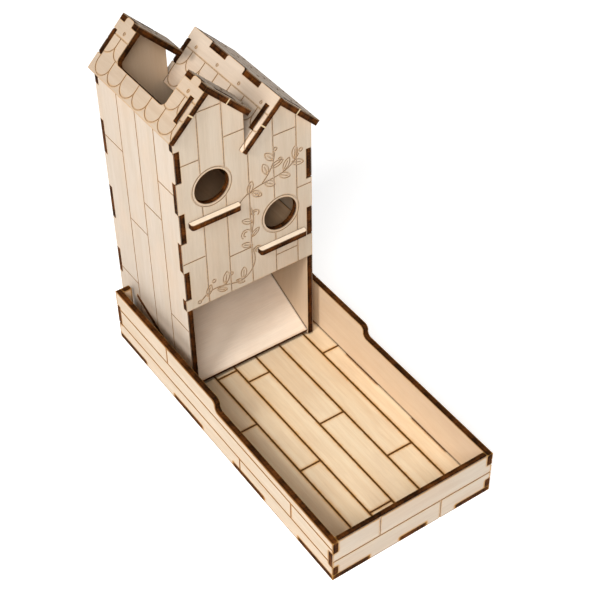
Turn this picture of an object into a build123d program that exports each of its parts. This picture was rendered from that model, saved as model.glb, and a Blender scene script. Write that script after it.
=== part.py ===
from build123d import *
import os
from math import cos, radians, sin, sqrt

# A tabletop dice tower cut from thin birch plywood: a shallow rolling tray, and a two-gabled
# birdhouse that lifts out of it. Millimetres. X runs to the right seen from the front, Y runs
# from the front to the back and Z runs up. The origin is under the middle of the whole object.

# ---- Driving dimensions --------------------------------------------------------------------
PLY = 3.0                   # thickness of every sheet
CLEAR = 0.4                 # free space each side where the tower slides in the tray
SIDE_PLAY = 0.9             # the same sideways, in the slots of the tray's back wall
TOWER_REST_X = 0.7          # the tower rests this far to the right of the tray's middle
LIFT = 0.3                  # the tower stands this far above the tray floor

TRAY_WIDTH = 88.0
TRAY_LENGTH = 186.0
TRAY_FRONT_Y = -98.5
TRAY_FRONT_HEIGHT = 25.0
TRAY_BACK_HEIGHT = 31.0
STEP_START_Y = -8.0         # where the side walls begin to rise towards the back
STEP_END_Y = -2.7
FLOOR_SEGMENTS = 7          # the floor joint along each side wall, every other one a tab
FRONT_TAB_EDGES = (7.8, 23.8)
FRONT_CORNER = (8.5, 18.0)  # heights between which the front wall owns the tray corner
BACK_CORNER = (9.5, 22.2)   # the same for the back wall

TOWER_WIDTH = 71.0
TOWER_FRONT_Y = 30.5
TOWER_BACK_Y = 98.5
MOUTH_TOP = 55.3            # lower edge of the front panel
BACK_PANEL_BOTTOM = 33.2
LAP_HEIGHT = 16.6           # the side panels and the tray's back wall cross at this height
PASS_HEIGHT = 26.0          # the back wall between them, low enough for the exit ramp

LEFT_RIDGE_Z = 175.4
RIGHT_RIDGE_Z = 155.4
RIDGE_X = TOWER_WIDTH / 4
SLOPE_LENGTH = 29.2
ROOF_FRONT_Y = 28.0
ROOF_TAB_LENGTH = 13.1
LEFT_ROOF_TAB_START = 7.6   # down the slope from the ridge
RIGHT_ROOF_TAB_START = 5.8
OPENING_FRONT_Y = 43.3      # the opening in the left roof, where the dice go in
OPENING_BACK_Y = 84.2
OPENING_DEPTH = 19.3
OPENING_CORNER = 3.0

HOLE_RADIUS = 9.0
RING_GAP = 1.2              # from the edge of a hole to the ring engraved round it
LEFT_HOLE_Z = 121.4
RIGHT_HOLE_Z = 89.3
PERCH_DROP = 14.6           # from the middle of a hole to the top of its perch
PERCH_LENGTH = 26.0
PERCH_TAB = 14.0
PERCH_REACH = 3.0

RAMP_ANGLE = 24.3
RAMP_FRONT_Y = 31.0
RAMP_TAB = (15.6, 55.5)     # along the ramp from its front edge

BAFFLE_ANGLE = 27.0
BAFFLE_REACH = 42.0         # how far each baffle reaches across the tower
UPPER_BAFFLE_Z = 114.0
LOWER_BAFFLE_Z = 77.0
BAFFLE_TABS = ((8.0, 19.0), (28.0, 39.0))

TAB_CORNER = 1.3            # radius on the outer corners of every tab
ENGRAVE_DEPTH = 0.3
FINE_LINE = 0.45            # width of the engraved lines on the tower
COARSE_LINE = 0.6           # width of the plank lines in the tray

# ---- Worked out from them ------------------------------------------------------------------
TRAY_X = TRAY_WIDTH / 2
TRAY_IN_X = TRAY_X - PLY
TRAY_BACK_Y = TRAY_FRONT_Y + TRAY_LENGTH
TRAY_IN_FRONT = TRAY_FRONT_Y + PLY
TRAY_IN_BACK = TRAY_BACK_Y - PLY
TOWER_X = TOWER_WIDTH / 2
TOWER_IN_X = TOWER_X - PLY
TOWER_IN_FRONT = TOWER_FRONT_Y + PLY
TOWER_IN_BACK = TOWER_BACK_Y - PLY
TOWER_BOTTOM = PLY + LIFT
LEFT_APEX_Z = LEFT_RIDGE_Z - PLY * sqrt(2)      # under the roof boards
RIGHT_APEX_Z = RIGHT_RIDGE_Z - PLY * sqrt(2)
LEFT_EAVE_Z = LEFT_APEX_Z - RIDGE_X
RIGHT_EAVE_Z = RIGHT_APEX_Z - RIDGE_X
EAVE_GAP = 0.1                                  # the side panels stop just under the roofs
FOOT_GAP = 0.1                                  # round the foot of the right roof's inner slope


# ---- Sketch helpers ------------------------------------------------------------------------
def box(x0, x1, y0, y1):
    """A rectangle between two corners."""
    return Pos((x0 + x1) / 2, (y0 + y1) / 2) * Rectangle(x1 - x0, y1 - y0)


def tab(x0, x1, y0, y1, way):
    """A rectangle with its two outer corners rounded, on the side that way names."""
    whole = box(x0, x1, y0, y1)
    outer = {"left": whole.vertices().group_by(Axis.X)[0],
             "right": whole.vertices().group_by(Axis.X)[-1],
             "down": whole.vertices().group_by(Axis.Y)[0],
             "up": whole.vertices().group_by(Axis.Y)[-1]}[way]
    return fillet(outer, TAB_CORNER)


def tilted(shape, x, y, angle):
    """A sketch drawn at the origin, turned and then moved to x, y."""
    return Pos(x, y) * Rot(0, 0, angle) * shape


def joined(shapes):
    """All of these sketches as one."""
    result = Sketch()
    for shape in shapes:
        result += shape
    return result


def stroke(*curves, width=FINE_LINE):
    """Engraved lines of one width that follow these curves."""
    return joined(trace(curve, line_width=width) for curve in curves)


def across(x0, x1, y, width=FINE_LINE):
    """An engraved line along the sketch's x."""
    return box(x0, x1, y - width / 2, y + width / 2)


def upright(x, y0, y1, width=FINE_LINE):
    """An engraved line along the sketch's y."""
    return box(x - width / 2, x + width / 2, y0, y1)


def ring(radius, width=FINE_LINE):
    """An engraved circle round the origin."""
    return Circle(radius + width / 2) - Circle(radius - width / 2)


def board(plane, outline, thickness, marks=None, marks_on_far_side=False):
    """A sheet cut to an outline, engraved with marks on one of its faces."""
    sheet = extrude(plane * outline, thickness)
    if marks is None:
        return sheet
    inward = 1 if thickness > 0 else -1
    start = thickness if marks_on_far_side else 0
    way = -inward if marks_on_far_side else inward
    cut = extrude(plane.offset(start) * (marks & outline), way * ENGRAVE_DEPTH)
    return sheet - cut


def upright_plane_facing_front(y):
    """Sketch x is X and sketch y is Z. Its normal points to the front."""
    return Plane(origin=(0, y, 0), x_dir=(1, 0, 0), z_dir=(0, -1, 0))


def upright_plane_facing_right(x):
    """Sketch x is Y and sketch y is Z. Its normal points to the right."""
    return Plane(origin=(x, 0, 0), x_dir=(0, 1, 0), z_dir=(1, 0, 0))


def slope_plane(ridge_x, ridge_z, side):
    """Top of a roof board: sketch x is Y and sketch y runs down the slope to one side (-1 or 1)."""
    return Plane(origin=(ridge_x, 0, ridge_z), x_dir=(0, 1, 0), z_dir=(-1, 0, -side))


# ---- The tray ------------------------------------------------------------------------------
SEGMENT = TRAY_LENGTH / FLOOR_SEGMENTS
FLOOR_TABS = [(TRAY_FRONT_Y + k * SEGMENT, TRAY_FRONT_Y + (k + 1) * SEGMENT)
              for k in range(0, FLOOR_SEGMENTS, 2)]
END_TABS = [(-TRAY_X, -FRONT_TAB_EDGES[1]),
            (-FRONT_TAB_EDGES[0], FRONT_TAB_EDGES[0]),
            (FRONT_TAB_EDGES[1], TRAY_X)]
COURSES = (10.4, 20.5)      # heights of the plank lines outside the tray


def tray_floor():
    """The floor reaches through all four walls, and shows its planks on top."""
    outline = box(-TRAY_IN_X, TRAY_IN_X, TRAY_IN_FRONT, TRAY_IN_BACK)
    for y0, y1 in FLOOR_TABS:
        outline += box(-TRAY_X, TRAY_X, y0, y1) & box(-TRAY_X, TRAY_X, TRAY_IN_FRONT, TRAY_IN_BACK)
    for x0, x1 in END_TABS:
        outline += box(x0, x1, TRAY_FRONT_Y, TRAY_IN_FRONT)
        outline += box(x0, x1, TRAY_IN_BACK, TRAY_BACK_Y)
    plank_edges = (-35.0, -22.0, -10.4, 2.3, 16.5, 31.0)
    marks = [upright(x, TRAY_IN_FRONT, TRAY_IN_BACK, COARSE_LINE) for x in plank_edges]
    plank_ends = ((-TRAY_IN_X, -35.0, -48.0), (-35.0, -22.0, -6.0), (-22.0, -10.4, -42.0),
                  (-22.0, -10.4, 29.5), (-10.4, 2.3, 19.5), (-10.4, 2.3, -80.0),
                  (2.3, 16.5, -23.3), (16.5, 31.0, -57.7), (31.0, TRAY_IN_X, 14.8))
    marks += [across(x0, x1, y, COARSE_LINE) for x0, x1, y in plank_ends]
    return board(Plane.XY, outline, PLY, joined(marks), marks_on_far_side=True)


def tray_side_wall(side, plank_ends):
    """A side wall, higher at the back, with a small S-curve between its two heights."""
    rise = TRAY_BACK_HEIGHT - TRAY_FRONT_HEIGHT
    middle = ((STEP_START_Y + STEP_END_Y) / 2, TRAY_FRONT_HEIGHT + rise / 2)
    top = (Line((TRAY_IN_FRONT, TRAY_FRONT_HEIGHT), (STEP_START_Y, TRAY_FRONT_HEIGHT))
           + TangentArc((STEP_START_Y, TRAY_FRONT_HEIGHT), middle, tangent=(1, 0))
           + TangentArc((STEP_END_Y, TRAY_BACK_HEIGHT), middle, tangent=(-1, 0))
           + Line((STEP_END_Y, TRAY_BACK_HEIGHT), (TRAY_IN_BACK, TRAY_BACK_HEIGHT)))
    rest = Polyline((TRAY_IN_BACK, TRAY_BACK_HEIGHT), (TRAY_IN_BACK, 0), (TRAY_IN_FRONT, 0),
                    (TRAY_IN_FRONT, TRAY_FRONT_HEIGHT))
    outline = make_face(top + rest)
    outline += box(TRAY_FRONT_Y, TRAY_IN_FRONT, PLY, FRONT_CORNER[0])
    outline += box(TRAY_FRONT_Y, TRAY_IN_FRONT, FRONT_CORNER[1], TRAY_FRONT_HEIGHT)
    outline += box(TRAY_IN_BACK, TRAY_BACK_Y, PLY, BACK_CORNER[0])
    outline += box(TRAY_IN_BACK, TRAY_BACK_Y, BACK_CORNER[1], TRAY_BACK_HEIGHT)
    for y0, y1 in FLOOR_TABS:
        outline -= box(y0, y1, 0, PLY)
    marks = [across(TRAY_FRONT_Y, TRAY_BACK_Y, z, COARSE_LINE) for z in COURSES]
    marks += [upright(y, z0, z1, COARSE_LINE) for y, z0, z1 in plank_ends]
    outer_face = upright_plane_facing_right(side * TRAY_X)
    return board(outer_face, outline, -side * PLY, joined(marks))


def tray_end_wall(height, corner):
    """The front or back wall before its own cuts: a plain board with one finger at each end."""
    outline = box(-TRAY_IN_X, TRAY_IN_X, 0, height)
    outline += tab(-TRAY_X, -TRAY_IN_X, corner[0], corner[1], "left")
    outline += tab(TRAY_IN_X, TRAY_X, corner[0], corner[1], "right")
    for x0, x1 in END_TABS:
        outline -= box(x0, x1, 0, PLY)
    return outline


def tray_front_wall():
    """One plank line and two plank ends on the front."""
    outline = tray_end_wall(TRAY_FRONT_HEIGHT, FRONT_CORNER)
    course = TRAY_FRONT_HEIGHT / 2
    marks = [across(-TRAY_X, TRAY_X, course, COARSE_LINE),
             upright(-18.8, course, TRAY_FRONT_HEIGHT, COARSE_LINE),
             upright(15.2, 0, course, COARSE_LINE)]
    return board(upright_plane_facing_front(TRAY_FRONT_Y), outline, -PLY, joined(marks))


def tray_back_wall():
    """Two open slots take the side panels of the tower, with a lower stretch between them."""
    outline = tray_end_wall(TRAY_BACK_HEIGHT, BACK_CORNER)
    for side in (-1, 1):
        middle = side * (TOWER_X - PLY / 2)
        half = PLY / 2 + SIDE_PLAY
        outline -= box(middle - half, middle + half, LAP_HEIGHT, TRAY_BACK_HEIGHT)
    outline -= box(-TOWER_IN_X, TOWER_IN_X, PASS_HEIGHT, TRAY_BACK_HEIGHT)
    marks = [across(-TRAY_X, TRAY_X, z, COARSE_LINE) for z in COURSES]
    marks += [upright(12.0, COURSES[1], TRAY_BACK_HEIGHT, COARSE_LINE),
              upright(-14.0, COURSES[0], COURSES[1], COARSE_LINE),
              upright(20.0, 0, COURSES[0], COARSE_LINE)]
    return board(upright_plane_facing_front(TRAY_BACK_Y), outline, PLY, joined(marks))


# ---- The tower's walls ---------------------------------------------------------------------
# Along each upright corner the two panels take turns. These are the heights that the side panel
# owns; the front or back panel owns the rest of the corner.
SIDE_OWNS = {("left", "front"): ((TOWER_BOTTOM, MOUTH_TOP), (61.85, 78.85), (95.85, 112.85),
                                 (129.85, 146.85)),
             ("right", "front"): ((TOWER_BOTTOM, MOUTH_TOP), (68.85, 85.85), (102.85, 119.85)),
             ("left", "back"): ((TOWER_BOTTOM, BACK_PANEL_BOTTOM), (48.7, 68.1), (87.5, 106.9),
                                (126.3, 145.7)),
             ("right", "back"): ((TOWER_BOTTOM, BACK_PANEL_BOTTOM), (48.7, 68.1), (87.5, 106.9),
                                 (126.3, RIGHT_EAVE_Z))}
SIDES = {"left": -1, "right": 1}
EAVES = {"left": LEFT_EAVE_Z, "right": RIGHT_EAVE_Z}
WALL_PLANKS = (46.8, 62.7, 79.0)               # plank lines on the side panels, as Y


def ramp_slit():
    """Where the exit ramp's tab passes through a side panel, in Y and Z."""
    return tilted(box(*RAMP_TAB, -PLY, 0), RAMP_FRONT_Y, RAMP_FRONT_Z, RAMP_ANGLE)


def side_panel(name, plank_ends):
    """A side panel of the tower, with the slot that laps over the tray's back wall."""
    side = SIDES[name]
    top = EAVES[name] - EAVE_GAP
    outline = box(TOWER_IN_FRONT, TOWER_IN_BACK, TOWER_BOTTOM, top)
    ends = (("front", TOWER_FRONT_Y, TOWER_IN_FRONT, "left"),
            ("back", TOWER_IN_BACK, TOWER_BACK_Y, "right"))
    for end, y0, y1, way in ends:
        foot, *fingers = SIDE_OWNS[name, end]
        outline += box(y0, y1, *foot)
        for z0, z1 in fingers:
            outline += tab(y0, y1, z0, min(z1, top), way)
    outline -= box(TRAY_IN_BACK - CLEAR, TRAY_BACK_Y + CLEAR, TOWER_BOTTOM, LAP_HEIGHT + CLEAR)
    outline -= ramp_slit()
    marks = [upright(y, TOWER_BOTTOM, top) for y in WALL_PLANKS]
    marks += [across(y0, y1, z) for y0, y1, z in plank_ends]
    return board(upright_plane_facing_right(side * TOWER_X), outline, -side * PLY, joined(marks))


def gable_outline(bottom):
    """The two-gabled shape of the front and back panels, up to the underside of the roofs."""
    shape = make_face(Polyline((-TOWER_X, bottom), (TOWER_X, bottom), (TOWER_X, RIGHT_EAVE_Z),
                               (RIDGE_X, RIGHT_APEX_Z), (0, RIGHT_EAVE_Z), (0, LEFT_EAVE_Z),
                               (-RIDGE_X, LEFT_APEX_Z), (-TOWER_X, LEFT_EAVE_Z), close=True))
    for ridge_x, ridge_z, start in ((-RIDGE_X, LEFT_RIDGE_Z, LEFT_ROOF_TAB_START),
                                    (RIDGE_X, RIGHT_RIDGE_Z, RIGHT_ROOF_TAB_START)):
        shape += tilted(tab(start, start + ROOF_TAB_LENGTH, -PLY, 0, "up"), ridge_x, ridge_z, -45)
        shape += tilted(tab(-start - ROOF_TAB_LENGTH, -start, -PLY, 0, "up"), ridge_x, ridge_z, 45)
    return shape


def corner_cuts(end, bottom):
    """The parts of the tower's upright corners that the side panels own, in X and Z."""
    cuts = []
    for name, side in SIDES.items():
        for z0, z1 in SIDE_OWNS[name, end]:
            if z0 >= bottom:
                cuts.append(box(min(side * TOWER_IN_X, side * TOWER_X),
                                max(side * TOWER_IN_X, side * TOWER_X), z0, z1))
    return joined(cuts)


ART_LINE = 0.36             # width of the lines that draw leaves and curls
BERRY_RADIUS = 0.9
LEAF_BULGE = 0.22           # half a leaf's width, as a share of its length
MIDRIB = (0.15, 0.75)       # where a leaf's midrib starts and ends, as shares of its length
CURL_TURN = 230             # degrees round the outer arc of a tendril
CURL_TIP_TURN = 200         # and round the smaller one inside it


def leaf(x, z, angle, length):
    """The outline of a pointed leaf that starts at x, z, with its midrib."""
    bulge = length * LEAF_BULGE
    outline = Curve() + [ThreePointArc((0, 0), (length / 2, bulge), (length, 0)),
                         ThreePointArc((0, 0), (length / 2, -bulge), (length, 0)),
                         Line((length * MIDRIB[0], 0), (length * MIDRIB[1], 0))]
    return tilted(stroke(*outline.edges(), width=ART_LINE), x, z, angle)


def curl(x, z, radius, side):
    """A tendril that leaves a stem at x, z and rolls over to one side (-1 or 1)."""
    start = 0 if side < 0 else 180
    middle = x + side * radius
    arc = CenterArc((middle, z), radius, start, -side * CURL_TURN)
    tip = CenterArc((middle, z), radius / 2, start + 60, -side * CURL_TIP_TURN)
    return stroke(arc, tip, width=ART_LINE)


def leafy_branch():
    """A sprig of leaves and berries that fills the panel beside the upper hole."""
    stem = Spline((-4.0, 105.5), (6.0, 110.5), (17.0, 112.0), (28.5, 119.5))
    twig = Spline((8.0, 111.0), (13.0, 117.0), (15.5, 125.5))
    marks = [stroke(stem, twig)]
    marks += [leaf(x, z, angle, 7.0) for x, z, angle in
              ((1.0, 108.2, 75), (2.5, 109.0, -40), (9.5, 111.4, -35), (17.5, 112.2, -30),
               (20.0, 113.2, 62), (24.5, 116.0, -20), (11.5, 115.0, 110), (13.3, 117.8, 15),
               (14.8, 121.5, 130), (26.0, 117.4, 85))]
    marks += [Pos(x, z) * ring(BERRY_RADIUS) for x, z in ((15.8, 127.2), (29.6, 121.0), (5.5, 106.0), (18.3, 120.6))]
    return joined(marks)


def climbing_vine():
    """A thin stem that climbs the middle of the panel, with curls and leaves."""
    stem = Spline((-27.0, 58.5), (-15.0, 61.5), (-3.5, 60.0), (2.8, 68.0), (1.0, 80.0),
                  (2.6, 90.0), (1.6, 100.5))
    marks = [stroke(stem)]
    marks += [curl(x, z, radius, side) for x, z, radius, side in
              ((1.2, 86.0, 2.6, -1), (2.2, 74.0, 2.2, 1), (2.0, 96.0, 2.0, 1))]
    marks += [leaf(x, z, angle, length) for x, z, angle, length in
              ((-24.0, 59.3, 70, 6.5), (-18.5, 61.0, -30, 6.0), (-14.0, 61.7, 80, 7.5),
               (-8.0, 61.0, -35, 5.5), (-4.0, 60.0, 85, 7.0), (1.8, 78.0, 155, 6.5),
               (1.2, 83.0, 40, 6.0), (2.4, 91.5, 150, 6.5))]
    marks += [Pos(x, z) * ring(BERRY_RADIUS) for x, z in ((-28.4, 58.0), (-10.5, 66.5), (-20.0, 66.8))]
    return joined(marks)


def front_panel():
    """The front, with two entrance holes, two perch slots and its engraving."""
    outline = gable_outline(MOUTH_TOP) - corner_cuts("front", MOUTH_TOP)
    rings = []
    for x, z in ((-RIDGE_X, LEFT_HOLE_Z), (RIDGE_X, RIGHT_HOLE_Z)):
        outline -= Pos(x, z) * Circle(HOLE_RADIUS)
        outline -= box(x - PERCH_TAB / 2, x + PERCH_TAB / 2, z - PERCH_DROP - PLY, z - PERCH_DROP)
        rings.append(Pos(x, z) * ring(HOLE_RADIUS + RING_GAP))
    plank_edges = (-23.2, -10.9, 1.3, 14.7, 27.1)
    planks = [upright(x, MOUTH_TOP, LEFT_RIDGE_Z) for x in plank_edges]
    plank_ends = ((-TOWER_X, -23.2, 138.5), (-TOWER_X, -23.2, 84.0), (-23.2, -10.9, 162.8),
                  (-10.9, 1.3, 145.0), (-10.9, 1.3, 77.0), (14.7, 27.1, 134.7),
                  (14.7, 27.1, 65.3), (27.1, TOWER_X, 100.0))
    planks += [across(x0, x1, z) for x0, x1, z in plank_ends]
    kept_clear = joined(Pos(x, z) * Circle(HOLE_RADIUS + RING_GAP) for x, z in
                        ((-RIDGE_X, LEFT_HOLE_Z), (RIDGE_X, RIGHT_HOLE_Z)))
    marks = (joined(planks) + leafy_branch() + climbing_vine()) - kept_clear + joined(rings)
    return board(upright_plane_facing_front(TOWER_FRONT_Y), outline, -PLY, marks)


def back_panel():
    """The back, with the slots that hold the baffles' tabs."""
    outline = gable_outline(BACK_PANEL_BOTTOM) - corner_cuts("back", BACK_PANEL_BOTTOM)
    outline -= baffle_slots()
    plank_edges = (-27.1, -14.7, -1.3, 10.9, 23.2)
    planks = [upright(x, BACK_PANEL_BOTTOM, LEFT_RIDGE_Z) for x in plank_edges]
    plank_ends = ((-TOWER_X, -27.1, 92.0), (-27.1, -14.7, 141.0), (-14.7, -1.3, 60.0),
                  (-1.3, 10.9, 112.0), (10.9, 23.2, 48.0), (23.2, TOWER_X, 118.0))
    planks += [across(x0, x1, z) for x0, x1, z in plank_ends]
    return board(upright_plane_facing_front(TOWER_BACK_Y), outline, PLY, joined(planks))


# ---- Inside the tower ----------------------------------------------------------------------
RAMP_FRONT_Z = TOWER_BOTTOM + PLY * cos(radians(RAMP_ANGLE))
RAMP_LENGTH = ((TOWER_IN_BACK - RAMP_FRONT_Y - PLY * sin(radians(RAMP_ANGLE)))
               / cos(radians(RAMP_ANGLE)))
BAFFLE_SETBACK = PLY * sin(radians(BAFFLE_ANGLE))
BAFFLE_LENGTH = (BAFFLE_REACH - BAFFLE_SETBACK) / cos(radians(BAFFLE_ANGLE))


def baffle_slots():
    """Slots in the back panel for both baffles, in X and Z."""
    slots = []
    for u0, u1 in BAFFLE_TABS:
        slots.append(tilted(box(u0, u1, -PLY, 0), BAFFLE_SETBACK - TOWER_IN_X, UPPER_BAFFLE_Z,
                            -BAFFLE_ANGLE))
        slots.append(tilted(box(-u1, -u0, -PLY, 0), TOWER_IN_X - BAFFLE_SETBACK, LOWER_BAFFLE_Z,
                            BAFFLE_ANGLE))
    return joined(slots)


def baffle(height, side):
    """A board that slopes down from one side wall (-1 or 1) and sends the dice across."""
    lean = radians(BAFFLE_ANGLE)
    plane = Plane(origin=(side * (TOWER_IN_X - BAFFLE_SETBACK), 0, height), x_dir=(0, 1, 0),
                  z_dir=(-sin(lean), 0, side * cos(lean)))
    outline = box(TOWER_IN_FRONT, TOWER_IN_BACK, 0, BAFFLE_LENGTH)
    for u0, u1 in BAFFLE_TABS:
        outline += box(TOWER_IN_BACK, TOWER_BACK_Y, u0, u1)
    return extrude(plane * outline, -side * PLY)


def exit_ramp():
    """The ramp under the tower, which rolls the dice out through the mouth."""
    lean = radians(RAMP_ANGLE)
    plane = Plane(origin=(0, RAMP_FRONT_Y, RAMP_FRONT_Z), x_dir=(1, 0, 0),
                  z_dir=(0, -sin(lean), cos(lean)))
    outline = box(-TOWER_IN_X, TOWER_IN_X, 0, RAMP_LENGTH)
    outline += box(-TOWER_X, TOWER_X, *RAMP_TAB)
    return extrude(plane * outline, -PLY)


def perch(x, hole_z):
    """A small shelf in front of an entrance hole, with a tab through the front panel."""
    outline = tab(x - PERCH_LENGTH / 2, x + PERCH_LENGTH / 2,
                  TOWER_FRONT_Y - PERCH_REACH, TOWER_FRONT_Y, "down")
    outline += box(x - PERCH_TAB / 2, x + PERCH_TAB / 2, TOWER_FRONT_Y, TOWER_IN_FRONT)
    return extrude(Plane.XY.offset(hole_z - PERCH_DROP) * outline, -PLY)


# ---- The roofs -----------------------------------------------------------------------------
# Where two slopes meet at a ridge they take turns as well. These are the stretches, in Y, that
# one slope owns up to the ridge; the other slope owns the rest.
LEFT_RIDGE_OUTER_OWNS = ((32.5, 38.4), (88.4, 94.3))
RIGHT_RIDGE_OUTER_OWNS = ((42.4, 55.6), (69.6, 82.9))

SHINGLE = 10.85             # pitch of the engraved shingles along the roof
CAP_LINE = 9.4              # the line under the ridge boards, down the slope
ROW_ENDS = (18.6, 28.2)     # lowest point of each row of shingles
ROW_STARTS = (90.0, 84.8)   # the hindmost full edge of each row, as Y
NAIL_LINE = 7.0
NAILS = (36.0, 53.8, 71.8, 89.9)
NAIL_RADIUS = 0.6


def shingles():
    """Two rows of round-ended shingles, the cap line above them and its nails."""
    marks = [across(ROOF_FRONT_Y, TOWER_BACK_Y, CAP_LINE)]
    marks += [Pos(y, NAIL_LINE) * ring(NAIL_RADIUS) for y in NAILS]
    tops = (CAP_LINE, ROW_ENDS[0])
    radius = SHINGLE / 2
    for top, end, start in zip(tops, ROW_ENDS, ROW_STARTS):
        for k in range(-1, 7):
            y = start - k * SHINGLE
            marks.append(upright(y, top, end - radius))
            lower_half = ring(radius) & box(-SHINGLE, SHINGLE, 0, SHINGLE)
            marks.append(Pos(y - radius, end - radius) * lower_half)
    return joined(marks)


def slope_outline(front_y, back_y, tab_start, owned):
    """One roof board before its own cuts, in Y and down the slope."""
    outline = box(front_y, back_y, PLY, SLOPE_LENGTH)
    for y0, y1 in owned:
        y0, y1 = max(y0, front_y), min(y1, back_y)
        if y1 > y0:
            inner_end = y0 > front_y and y1 < back_y
            outline += tab(y0, y1, 0, PLY, "down") if inner_end else box(y0, y1, 0, PLY)
    tab_end = tab_start + ROOF_TAB_LENGTH
    outline -= box(TOWER_FRONT_Y, TOWER_IN_FRONT, tab_start, tab_end)
    outline -= box(TOWER_IN_BACK, TOWER_BACK_Y, tab_start, tab_end)
    return outline


def rest_of_ridge(owned):
    """The stretches of the ridge that are left to the other slope."""
    edges = [ROOF_FRONT_Y] + [y for pair in owned for y in pair] + [TOWER_BACK_Y]
    return list(zip(edges[0::2], edges[1::2]))


def left_outer_slope():
    """The left-hand board of the left roof, with the opening for the dice."""
    outline = slope_outline(ROOF_FRONT_Y, TOWER_BACK_Y, LEFT_ROOF_TAB_START, LEFT_RIDGE_OUTER_OWNS)
    opening = box(OPENING_FRONT_Y, OPENING_BACK_Y, 0, OPENING_DEPTH)
    outline -= fillet(opening.vertices().group_by(Axis.Y)[-1], OPENING_CORNER)
    return board(slope_plane(-RIDGE_X, LEFT_RIDGE_Z, -1), outline, -PLY, shingles())


def left_inner_strip(front_y, back_y):
    """One of the two short boards that close the left roof's other slope beside the opening."""
    outline = slope_outline(front_y, back_y, LEFT_ROOF_TAB_START,
                            rest_of_ridge(LEFT_RIDGE_OUTER_OWNS))
    return board(slope_plane(-RIDGE_X, LEFT_RIDGE_Z, 1), outline, PLY, shingles())


def right_inner_slope():
    """The left-hand board of the right roof. Its foot passes between the two panels, and a
    narrow strip of it in front of the front panel."""
    outline = slope_outline(ROOF_FRONT_Y, TOWER_BACK_Y, RIGHT_ROOF_TAB_START,
                            rest_of_ridge(RIGHT_RIDGE_OUTER_OWNS))
    panel_edge = RIDGE_X * sqrt(2) - FOOT_GAP
    outline -= box(TOWER_FRONT_Y - FOOT_GAP, TOWER_IN_FRONT + FOOT_GAP, panel_edge, SLOPE_LENGTH)
    outline -= box(TOWER_IN_BACK - FOOT_GAP, TOWER_BACK_Y, panel_edge, SLOPE_LENGTH)
    return board(slope_plane(RIDGE_X, RIGHT_RIDGE_Z, -1), outline, -PLY, shingles())


def right_outer_slope():
    """The right-hand board of the right roof."""
    outline = slope_outline(ROOF_FRONT_Y, TOWER_BACK_Y, RIGHT_ROOF_TAB_START,
                            RIGHT_RIDGE_OUTER_OWNS)
    return board(slope_plane(RIDGE_X, RIGHT_RIDGE_Z, 1), outline, PLY, shingles())


# ---- Every node ----------------------------------------------------------------------------
TRAY_WALL_ENDS = ((38.0, COURSES[1], TRAY_BACK_HEIGHT), (-67.0, COURSES[0], COURSES[1]),
                  (-25.0, 0, COURSES[0]))
LEFT_PANEL_ENDS = ((79.0, TOWER_BACK_Y, 118.5), (79.0, TOWER_BACK_Y, 37.5), (62.7, 79.0, 79.8),
                   (46.8, 62.7, 99.7), (TOWER_FRONT_Y, 46.8, 122.5), (TOWER_FRONT_Y, 46.8, 42.3))
RIGHT_PANEL_ENDS = ((79.0, TOWER_BACK_Y, 62.0), (62.7, 79.0, 105.0), (46.8, 62.7, 48.5),
                    (TOWER_FRONT_Y, 46.8, 90.0))

NODES = {
    "tray_floor": tray_floor(),
    "tray_left_wall": tray_side_wall(-1, TRAY_WALL_ENDS),
    "tray_right_wall": tray_side_wall(1, TRAY_WALL_ENDS),
    "tray_front_wall": tray_front_wall(),
    "tray_back_wall": tray_back_wall(),
    "tower_front_panel": front_panel(),
    "tower_back_panel": back_panel(),
    "tower_left_panel": side_panel("left", LEFT_PANEL_ENDS),
    "tower_right_panel": side_panel("right", RIGHT_PANEL_ENDS),
    "left_roof_outer_slope": left_outer_slope(),
    "left_roof_inner_front_strip": left_inner_strip(ROOF_FRONT_Y, OPENING_FRONT_Y),
    "left_roof_inner_back_strip": left_inner_strip(OPENING_BACK_Y, TOWER_BACK_Y),
    "right_roof_inner_slope": right_inner_slope(),
    "right_roof_outer_slope": right_outer_slope(),
    "left_perch": perch(-RIDGE_X, LEFT_HOLE_Z),
    "right_perch": perch(RIDGE_X, RIGHT_HOLE_Z),
    "exit_ramp": exit_ramp(),
    "upper_baffle": baffle(UPPER_BAFFLE_Z, -1),
    "lower_baffle": baffle(LOWER_BAFFLE_Z, 1),
}

os.makedirs("parts", exist_ok=True)
for node, shape in NODES.items():
    placed = shape if node.startswith("tray") else Pos(TOWER_REST_X, 0, 0) * shape
    export_step(placed, f"parts/{node}.step")
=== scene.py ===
from collections import namedtuple
from math import cos, radians, sin, sqrt

import bpy
from mathutils import Matrix, Vector


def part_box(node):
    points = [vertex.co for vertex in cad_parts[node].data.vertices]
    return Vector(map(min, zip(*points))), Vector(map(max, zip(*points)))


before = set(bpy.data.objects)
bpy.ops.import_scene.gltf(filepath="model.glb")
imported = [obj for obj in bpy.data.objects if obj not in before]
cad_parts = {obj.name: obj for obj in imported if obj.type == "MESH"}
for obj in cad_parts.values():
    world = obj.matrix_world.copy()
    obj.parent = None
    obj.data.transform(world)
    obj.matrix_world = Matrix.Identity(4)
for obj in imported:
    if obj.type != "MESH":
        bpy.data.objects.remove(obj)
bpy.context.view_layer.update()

MM = 0.001


def linear(red, green, blue):
    """A colour given as screen values from 0 to 255, as the linear numbers that shaders take."""
    def one(value):
        value /= 255
        return value / 12.92 if value <= 0.04045 else ((value + 0.055) / 1.055) ** 2.4
    return (one(red), one(green), one(blue), 1.0)


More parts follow.
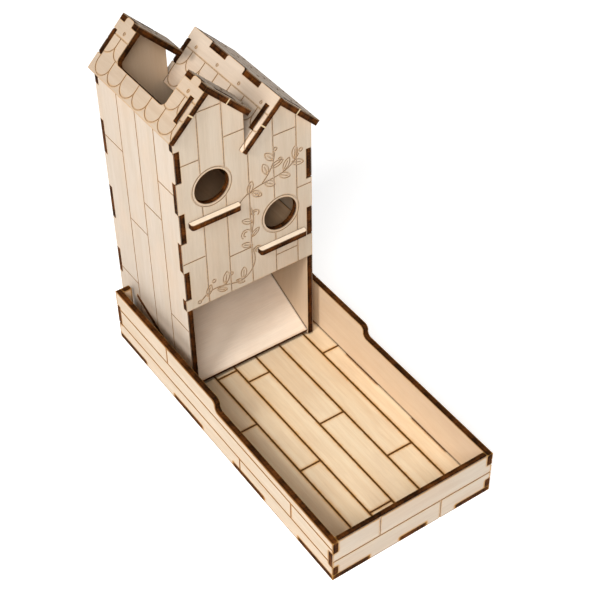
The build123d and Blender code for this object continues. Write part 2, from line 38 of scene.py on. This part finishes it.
# ---- Shader tree helpers -------------------------------------------------------------------
class Tree:
    """A material's node tree, with one short method for each kind of node."""

    def __init__(self, name):
        self.material = bpy.data.materials.new(name)
        self.material.use_nodes = True
        self.nodes = self.material.node_tree.nodes
        self.links = self.material.node_tree.links
        self.nodes.clear()

    def feed(self, socket, value):
        """Links a socket to another, or sets its own value."""
        if isinstance(value, bpy.types.NodeSocket):
            self.links.new(value, socket)
        elif value is not None:
            socket.default_value = value

    def math(self, operation, a, b=None):
        node = self.nodes.new("ShaderNodeMath")
        node.operation = operation
        self.feed(node.inputs[0], a)
        self.feed(node.inputs[1], b)
        return node.outputs[0]

    def times(self, a, b):
        return self.math("MULTIPLY", a, b)

    def plus(self, a, b):
        return self.math("ADD", a, b)

    def vector_math(self, operation, a, b):
        """A vector operation on two vectors that gives a number."""
        node = self.nodes.new("ShaderNodeVectorMath")
        node.operation = operation
        self.feed(node.inputs[0], a)
        self.feed(node.inputs[1], b)
        return node.outputs["Value"]

    def vector(self, x, y, z):
        node = self.nodes.new("ShaderNodeCombineXYZ")
        for socket, value in zip(node.inputs, (x, y, z)):
            self.feed(socket, value)
        return node.outputs[0]

    def noise(self, place, scale=1.0, detail=2.0, roughness=0.5, distortion=0.0):
        node = self.nodes.new("ShaderNodeTexNoise")
        self.feed(node.inputs["Vector"], place)
        self.feed(node.inputs["Scale"], scale)
        self.feed(node.inputs["Detail"], detail)
        self.feed(node.inputs["Roughness"], roughness)
        self.feed(node.inputs["Distortion"], distortion)
        return node.outputs["Fac"]

    def ramp(self, value, low, high, to_low=0.0, to_high=1.0, smooth=True):
        """value from low..high to to_low..to_high, held at both ends."""
        node = self.nodes.new("ShaderNodeMapRange")
        node.interpolation_type = "SMOOTHSTEP" if smooth else "LINEAR"
        node.clamp = True
        for index, number in enumerate((value, low, high, to_low, to_high)):
            self.feed(node.inputs[index], number)
        return node.outputs[0]

    def mix(self, factor, a, b):
        """Colour a where factor is 0 and colour b where it is 1."""
        node = self.nodes.new("ShaderNodeMix")
        node.data_type = "RGBA"
        self.feed(node.inputs[0], factor)
        self.feed(node.inputs[6], a)
        self.feed(node.inputs[7], b)
        return node.outputs[2]

    def scaled(self, colour, by):
        """A colour made lighter or darker by a number."""
        node = self.nodes.new("ShaderNodeVectorMath")
        node.operation = "SCALE"
        self.feed(node.inputs[0], colour[:3] if isinstance(colour, tuple) else colour)
        self.feed(node.inputs["Scale"], by)
        return node.outputs[0]

    def openness(self, reach, samples, inside=False):
        """How open the surface is within a reach in mm: 1 in the middle of a flat face, and less in
        a corner, or for inside, less where the sheet itself ends or is cut into."""
        node = self.nodes.new("ShaderNodeAmbientOcclusion")
        node.samples = samples
        node.inside = inside
        node.only_local = inside
        node.inputs["Distance"].default_value = reach * MM
        return node.outputs["AO"]

    def output(self, shader):
        node = self.nodes.new("ShaderNodeOutputMaterial")
        self.links.new(shader.outputs[0], node.inputs["Surface"])


# ---- Birch plywood: colours ----------------------------------------------------------------
CHAR = linear(30, 14, 4)            # a laser-cut edge at its darkest
CHAR_WARM = linear(106, 58, 20)     # where the laser left it browner
GOLDEN = linear(208, 154, 82)       # the scorched rim of a face, beside a cut
AMBER = linear(212, 154, 76)        # the same on the tray's floor
BURNT = linear(118, 74, 30)         # right beside the deepest engraved lines
SEAM_AND_SHADE = linear(74, 48, 24)           # the dark joint line where two boards meet in a corner, and the painted shade in the corner beside it
CLOUD = linear(206, 174, 142)       # the wood's warmer clouds
REVERSE = linear(212, 178, 140)     # the plainer, warmer back of every sheet
BARE = linear(236, 210, 166)        # a holding point that was snapped and not cut

# light, dark: the face. engraved: the lines in it. scorched: the rim beside a cut, with its strength,
# its width in mm, and how readily it shows beside shallow lines. seam: the strength of the dark corner
# joint lines and of the painted shade in inner corners.
Finish = namedtuple("Finish", "light dark engraved scorched strength width shallow seam")

FINISHES = {
    "tray": Finish(linear(201, 183, 161), linear(193, 173, 148), linear(180, 120, 62),
                   GOLDEN, 0.9, 1.2, 0.6, 0.6),
    "tray_front": Finish(linear(206, 191, 172), linear(198, 180, 160), linear(196, 172, 148),
                         GOLDEN, 0.9, 1.2, 0.2, 0.6),
    # A lighter copy of the tray's finish for the right wall: painted light on its inner face beside
    # the tower.
    "tray_right": Finish(linear(236, 217, 193), linear(228, 206, 178), linear(186, 128, 70),
                         GOLDEN, 0.8, 1.1, 0.3, 0.7),
    # The floor's warmer tone is its own; its extra lightness is painted light, for the light falling
    # on it from above.
    "floor": Finish(linear(241, 218, 184), linear(232, 204, 166), linear(80, 48, 14),
                    AMBER, 0.95, 1.9, 1.25, 0.8),
    "walls": Finish(linear(202, 186, 166), linear(196, 178, 156), linear(190, 170, 150),
                    GOLDEN, 0.55, 0.5, 0.1, 0.8),
    # A darker copy of the walls' finish for the left panel: painted shade that tones down the key
    # light on that side.
    "left_panel": Finish(linear(192, 177, 161), linear(186, 169, 150), linear(176, 158, 140),
                         GOLDEN, 0.55, 0.5, 0.1, 0.8),
    # The left roof's boards take this darker copy: painted shade on its inner strips, and a toned-down
    # key light on its outer slope.
    "roofs": Finish(linear(190, 170, 148), linear(182, 160, 137), linear(168, 138, 106),
                    GOLDEN, 0.5, 0.5, 0.1, 0.6),
    # A lighter copy for the right roof's boards: painted light on both of its slopes.
    "roofs_painted_lighter": Finish(linear(214, 194, 173), linear(206, 185, 163), linear(176, 148, 118),
                         GOLDEN, 0.5, 0.5, 0.1, 0.6),
    # The ramp is a much lighter copy of the walls' finish: painted light on it in the tower's mouth.
    "ramp": Finish(linear(242, 224, 203), linear(238, 218, 196), linear(160, 130, 100),
                   GOLDEN, 0.4, 1.6, 0.1, 1.0),
    # The perches are a lighter copy as well: painted light on their top faces.
    "perch": Finish(linear(242, 227, 206), linear(236, 217, 192), linear(160, 130, 100),
                    GOLDEN, 0.5, 0.3, 0.2, 0.6),
    # The baffles inside the tower are a darker copy: painted shade, for the dim light within the
    # tower.
    "inside": Finish(linear(166, 136, 106), linear(150, 120, 90), linear(140, 110, 82),
                     GOLDEN, 0.5, 0.5, 0.2, 0.6),
}

SEAM_REACH = 0.7                        # mm, the least reach of the dark corner joint line and its painted shade
CORNER_SAMPLES, BRINK_SAMPLES = 8, 16
ENGRAVED_BEGINS, ENGRAVED_FULL = 0.04, 0.12     # depth in mm under the face
ENGRAVED_FADES, ENGRAVED_ENDS = 0.42, 0.5
POINT_CORE, POINT_RIM, POINT_STRENGTH = 0.2, 0.5, 0.8   # a holding point, in mm from its middle
MATT_LOW, MATT_HIGH, CHAR_MATT = 0.56, 0.70, 0.15       # roughness, and what char adds to it
FACE_SPECULAR, CHAR_SPECULAR = 0.3, 0.04
RELIEF_STRENGTH, RELIEF_HEIGHT = 0.35, 0.06 * MM


# ---- Birch plywood: one board --------------------------------------------------------------
class Board(Tree):
    """The node tree of one board, with its own directions: u along the grain, v across it and w out
    of the engraved face, all in mm."""

    def __init__(self, node, finish, out, grain):
        super().__init__("birch_" + node)
        self.finish = finish
        self.out = Vector(out).normalized()
        self.along = Vector(grain).normalized()
        self.side = self.out.cross(self.along)
        levels = [vertex.co.dot(self.out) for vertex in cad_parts[node].data.vertices]
        face_level = max(levels) / MM
        self.thickness = face_level - min(levels) / MM
        # Each board is cut from its own place along the plank.
        self.offset = sum(ord(letter) * (k + 1) for k, letter in enumerate(node)) % 997

        source = self.nodes.new("ShaderNodeTexCoord")
        place = source.outputs["Object"]
        along_grain = self.vector_math("DOT_PRODUCT", place, tuple(self.along / MM))
        self.u = self.plus(along_grain, float(self.offset))
        self.v = self.vector_math("DOT_PRODUCT", place, tuple(self.side / MM))
        self.w = self.vector_math("DOT_PRODUCT", place, tuple(self.out / MM))
        self.uvw = self.vector(self.u, self.v, self.w)
        self.depth = self.math("SUBTRACT", face_level, self.w)

        # Cut edges are those that don't face the way the board does.
        facing = self.vector_math("DOT_PRODUCT", source.outputs["Normal"], tuple(self.out))
        self.edge = self.ramp(self.math("ABSOLUTE", facing), 0.5, 0.9, 1.0, 0.0)
        self.in_line = self.times(
            self.ramp(self.depth, ENGRAVED_BEGINS, ENGRAVED_FULL),
            self.ramp(self.depth, ENGRAVED_FADES, ENGRAVED_ENDS, 1.0, 0.0))

        self.streaks = self.noise(self.stretched(9.0, 0.42), detail=3.0, roughness=0.65)
        across_edge = self.plus(self.u, self.v)
        self.cuts = self.noise(self.vector(self.times(across_edge, 5.0), self.times(self.w, 0.3), 0.0),
                               detail=2.0)
        # How open the face is near inner corners: it drives the painted corner shade and keeps the
        # rims out of corners.
        self.corner = self.openness(max(SEAM_REACH, finish.width), CORNER_SAMPLES)
        self.brink = self.openness(finish.width, BRINK_SAMPLES, inside=True)

    def stretched(self, length, width):
        """A place for noise whose shapes are a length and a width in mm, along the grain."""
        return self.vector(self.math("DIVIDE", self.u, length), self.math("DIVIDE", self.v, width),
                           self.math("DIVIDE", self.w, width))

    def shares(self, a, share_a, b, share_b):
        """A sum of two noises, each with its share."""
        return self.plus(self.times(a, share_a), self.times(b, share_b))

    def wood(self):
        """The wood's own colour: soft bands, growth figure, clouds, fine streaks and short dark
        flecks, with a plainer reverse."""
        bands = self.noise(self.stretched(70.0, 9.0), detail=3.0, roughness=0.55)
        clouds = self.noise(self.stretched(26.0, 17.0), detail=3.0)
        figure = self.noise(self.stretched(38.0, 2.6), detail=4.0, roughness=0.6, distortion=0.35)
        flecks = self.noise(self.stretched(1.9, 0.2), detail=1.0)
        tone = self.shares(bands, 0.45, figure, 0.55)
        face = self.mix(self.ramp(tone, 0.36, 0.64), self.finish.light, self.finish.dark)
        face = self.mix(self.ramp(clouds, 0.4, 0.72, 0.0, 0.25), face, CLOUD)
        face = self.scaled(face, self.ramp(self.streaks, 0.3, 0.7, 1.03, 0.965))
        face = self.scaled(face, self.ramp(flecks, 0.68, 0.8, 1.0, 0.9))
        back = self.ramp(self.depth, self.thickness - 0.3, self.thickness - 0.1, 0.0, 0.45)
        return self.mix(back, face, REVERSE)

    def scorched_face(self, face):
        """The face with its golden rims, which stay out of inner corners, the brown right beside
        deep lines, and the fine dark joint line where two boards meet in a corner, with painted shade
        spreading from it over the face in that corner."""
        finish = self.finish
        uneven = self.noise(self.uvw, scale=0.35, detail=2.0)
        shows_from = 0.65 + 0.22 * finish.shallow
        rim = self.times(self.ramp(self.brink, shows_from, 1.0, 1.0, 0.0, smooth=False),
                         self.ramp(uneven, 0.3, 0.7, 0.45, 1.0))
        rim = self.times(rim, self.ramp(self.corner, 0.75, 1.0))
        face = self.mix(self.times(rim, finish.strength), face, finish.scorched)
        burnt = self.ramp(self.brink, 0.68, 0.92, min(1.0, finish.shallow), 0.0)
        face = self.mix(burnt, face, BURNT)
        # Painted shade: the face turns dark towards inner corners, together with the joint line there.
        seam = self.ramp(self.corner, 0.55, 0.85, finish.seam, 0.0)
        return self.mix(seam, face, SEAM_AND_SHADE)

    def engraved_face(self, face):
        """The face with its engraved lines, browner at the bottom and along their walls."""
        uneven = self.noise(self.uvw, scale=0.8, detail=3.0)
        line = self.scaled(self.finish.engraved, self.ramp(uneven, 0.3, 0.7, 0.8, 1.25))
        return self.mix(self.in_line, face, line)

    def charred_edge(self, bare_points):
        """The charred edge: fine cuts straight through the sheet, its middle ply, browner patches,
        a scorched border, and pale holding points at places in mm."""
        patches = self.noise(self.uvw, scale=0.16, detail=4.0, roughness=0.6)
        ply = self.times(self.depth, 1.0 / self.thickness)
        middle_ply = self.times(self.ramp(ply, 0.30, 0.36), self.ramp(ply, 0.64, 0.70, 1.0, 0.0))
        brown = self.plus(self.shares(self.cuts, 0.45, patches, 0.55), self.times(middle_ply, 0.05))
        char = self.mix(self.ramp(brown, 0.42, 0.72), CHAR, CHAR_WARM)
        char = self.mix(self.times(self.in_line, 0.35), char, self.finish.engraved)
        border = self.times(self.ramp(self.brink, 0.3, 0.7, 1.0, 0.0), self.finish.strength)
        char = self.mix(self.times(border, 0.6), char, self.finish.scorched)
        for point in bare_points:
            middle = Vector(point)
            middle_uv = (middle.dot(self.along) + self.offset, middle.dot(self.side), 0.0)
            away = self.vector_math("DISTANCE", self.vector(self.u, self.v, 0.0), middle_uv)
            bare = self.ramp(away, POINT_CORE, POINT_RIM, POINT_STRENGTH, 0.0)
            char = self.mix(bare, char, BARE)
        return char

    def build(self, bare_points):
        """Puts the board's shader together and returns its material."""
        face = self.engraved_face(self.scorched_face(self.wood()))
        shader = self.nodes.new("ShaderNodeBsdfPrincipled")
        self.feed(shader.inputs["Base Color"],
                  self.mix(self.edge, face, self.charred_edge(bare_points)))
        # Sanded wood is matt and the char a little more so, with fine relief on both.
        matt = self.plus(self.ramp(self.streaks, 0.3, 0.7, MATT_LOW, MATT_HIGH),
                         self.times(self.edge, CHAR_MATT))
        self.feed(shader.inputs["Roughness"], matt)
        self.feed(shader.inputs["Specular IOR Level"],
                  self.ramp(self.edge, 0.0, 1.0, FACE_SPECULAR, CHAR_SPECULAR))
        relief = self.plus(self.times(self.streaks, self.math("SUBTRACT", 1.0, self.edge)),
                           self.times(self.cuts, self.edge))
        bump = self.nodes.new("ShaderNodeBump")
        bump.inputs["Strength"].default_value = RELIEF_STRENGTH
        bump.inputs["Distance"].default_value = RELIEF_HEIGHT
        self.feed(bump.inputs["Height"], relief)
        self.feed(shader.inputs["Normal"], bump.outputs[0])
        self.output(shader)
        return self.material


# ---- The nineteen boards -------------------------------------------------------------------
LEFT, RIGHT, FRONT, BACK, UP = (-1, 0, 0), (1, 0, 0), (0, -1, 0), (0, 1, 0), (0, 0, 1)
SLANT = sqrt(0.5)
ROOF_LEFT, ROOF_RIGHT = (-SLANT, 0, SLANT), (SLANT, 0, SLANT)
RAMP_LEAN, BAFFLE_LEAN = radians(24.3), radians(27)
RAMP_UP = (0, -sin(RAMP_LEAN), cos(RAMP_LEAN))
UPPER_UP = (sin(BAFFLE_LEAN), 0, cos(BAFFLE_LEAN))
LOWER_UP = (-sin(BAFFLE_LEAN), 0, cos(BAFFLE_LEAN))

BOARDS = {
    # node: (finish, out of the engraved face, along the grain)
    "tray_floor": ("floor", UP, BACK),
    "tray_left_wall": ("tray", LEFT, BACK),
    "tray_right_wall": ("tray_right", RIGHT, BACK),
    "tray_front_wall": ("tray_front", FRONT, RIGHT),
    "tray_back_wall": ("tray", BACK, RIGHT),
    "tower_front_panel": ("walls", FRONT, UP),
    "tower_back_panel": ("walls", BACK, UP),
    "tower_left_panel": ("left_panel", LEFT, UP),
    "tower_right_panel": ("walls", RIGHT, UP),
    # The left roof takes the darker copy and the right roof the lighter one: painted shade and painted
    # light on one wood.
    "left_roof_outer_slope": ("roofs", ROOF_LEFT, BACK),
    "left_roof_inner_front_strip": ("roofs", ROOF_RIGHT, BACK),
    "left_roof_inner_back_strip": ("roofs", ROOF_RIGHT, BACK),
    "right_roof_inner_slope": ("roofs_painted_lighter", ROOF_LEFT, BACK),
    "right_roof_outer_slope": ("roofs_painted_lighter", ROOF_RIGHT, BACK),
    "left_perch": ("perch", UP, RIGHT),
    "right_perch": ("perch", UP, RIGHT),
    "exit_ramp": ("ramp", RAMP_UP, RIGHT),
    "upper_baffle": ("inside", UPPER_UP, BACK),
    "lower_baffle": ("inside", LOWER_UP, BACK),
}
FRONT_ROOF_BOARDS = ("left_roof_outer_slope", "left_roof_inner_front_strip",
                     "right_roof_inner_slope", "right_roof_outer_slope")


def front_middle(node):
    """The middle of a roof board's front edge, in mm: where its holding point was snapped."""
    low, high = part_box(node)
    return ((low.x + high.x) / 2 / MM, low.y / MM, (low.z + high.z) / 2 / MM)


for node, (finish, out, grain) in BOARDS.items():
    bare_points = [front_middle(node)] if node in FRONT_ROOF_BOARDS else []
    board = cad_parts[node]
    board.data.materials.clear()
    board.data.materials.append(Board(node, FINISHES[finish], out, grain).build(bare_points))
    for polygon in board.data.polygons:
        polygon.material_index = 0


# ---- Floor, light and camera ---------------------------------------------------------------
FLOOR_SIZE = 60.0       # so large that its far edge is level with the horizon
FLOOR_LEVEL = 0.82
FLOOR_GLOW = 0.6        # keeps the floor pale, with only a faint shadow
WORLD_LEVEL = 0.12
LAMP_AIM = (0, 0, 0.06)
LAMPS = (
    # name, place, size across, size up, power: the key stands to the left
    ("key", (-0.74, -0.18, 0.74), 0.26, 0.37, 7.6),
    ("front", (-0.85, -1.15, 1.25), 0.8, 0.8, 19.5),
    ("right_fill", (1.3, 0.6, 0.9), 1.0, 1.0, 5.2),
)
CAMERA_PLACE = Vector((-0.2575, -0.3934, 0.5033))
CAMERA_TURN, CAMERA_TILT, CAMERA_ROLL = radians(33.738), radians(42.637), radians(-1.155)
CAMERA_LENS, CAMERA_SENSOR, CAMERA_NEAR = 85.82, 36.0, 0.01

bpy.ops.mesh.primitive_plane_add(size=FLOOR_SIZE, location=(0, 0, 0))
floor = bpy.context.object
floor.name = "floor"
floor_tree = Tree("pale_floor")
floor_shader = floor_tree.nodes.new("ShaderNodeBsdfPrincipled")
floor_shader.inputs["Base Color"].default_value = (FLOOR_LEVEL, FLOOR_LEVEL, FLOOR_LEVEL, 1)
floor_shader.inputs["Roughness"].default_value = 0.9
floor_shader.inputs["Specular IOR Level"].default_value = 0.0
floor_shader.inputs["Emission Color"].default_value = (1, 1, 1, 1)
floor_shader.inputs["Emission Strength"].default_value = FLOOR_GLOW
floor_tree.output(floor_shader)
floor.data.materials.append(floor_tree.material)

scene = bpy.context.scene
world = bpy.data.worlds.new("studio")
world.use_nodes = True
background = world.node_tree.nodes["Background"]
background.inputs["Color"].default_value = (1, 1, 1, 1)
background.inputs["Strength"].default_value = WORLD_LEVEL
scene.world = world
scene.view_settings.view_transform = "Standard"

for name, place, size_across, size_up, power in LAMPS:
    data = bpy.data.lights.new(name, "AREA")
    data.shape = "RECTANGLE"
    data.size = size_across
    data.size_y = size_up
    data.energy = power
    lamp = bpy.data.objects.new(name, data)
    lamp.location = place
    lamp.rotation_mode = "QUATERNION"
    lamp.rotation_quaternion = (Vector(place) - Vector(LAMP_AIM)).to_track_quat("Z", "Y")
    scene.collection.objects.link(lamp)

camera_data = bpy.data.cameras.new("camera")
camera_data.lens = CAMERA_LENS
camera_data.sensor_width = CAMERA_SENSOR
camera_data.clip_start = CAMERA_NEAR
camera = bpy.data.objects.new("camera", camera_data)
ahead = Vector((sin(CAMERA_TURN) * cos(CAMERA_TILT), cos(CAMERA_TURN) * cos(CAMERA_TILT),
                -sin(CAMERA_TILT)))
level_right = Vector((cos(CAMERA_TURN), -sin(CAMERA_TURN), 0))
level_up = level_right.cross(ahead)
right = level_right * cos(CAMERA_ROLL) + level_up * sin(CAMERA_ROLL)
up = level_up * cos(CAMERA_ROLL) - level_right * sin(CAMERA_ROLL)
camera.matrix_world = (Matrix.Translation(CAMERA_PLACE)
                       @ Matrix((right, up, -ahead)).transposed().to_4x4())
scene.collection.objects.link(camera)
scene.camera = camera
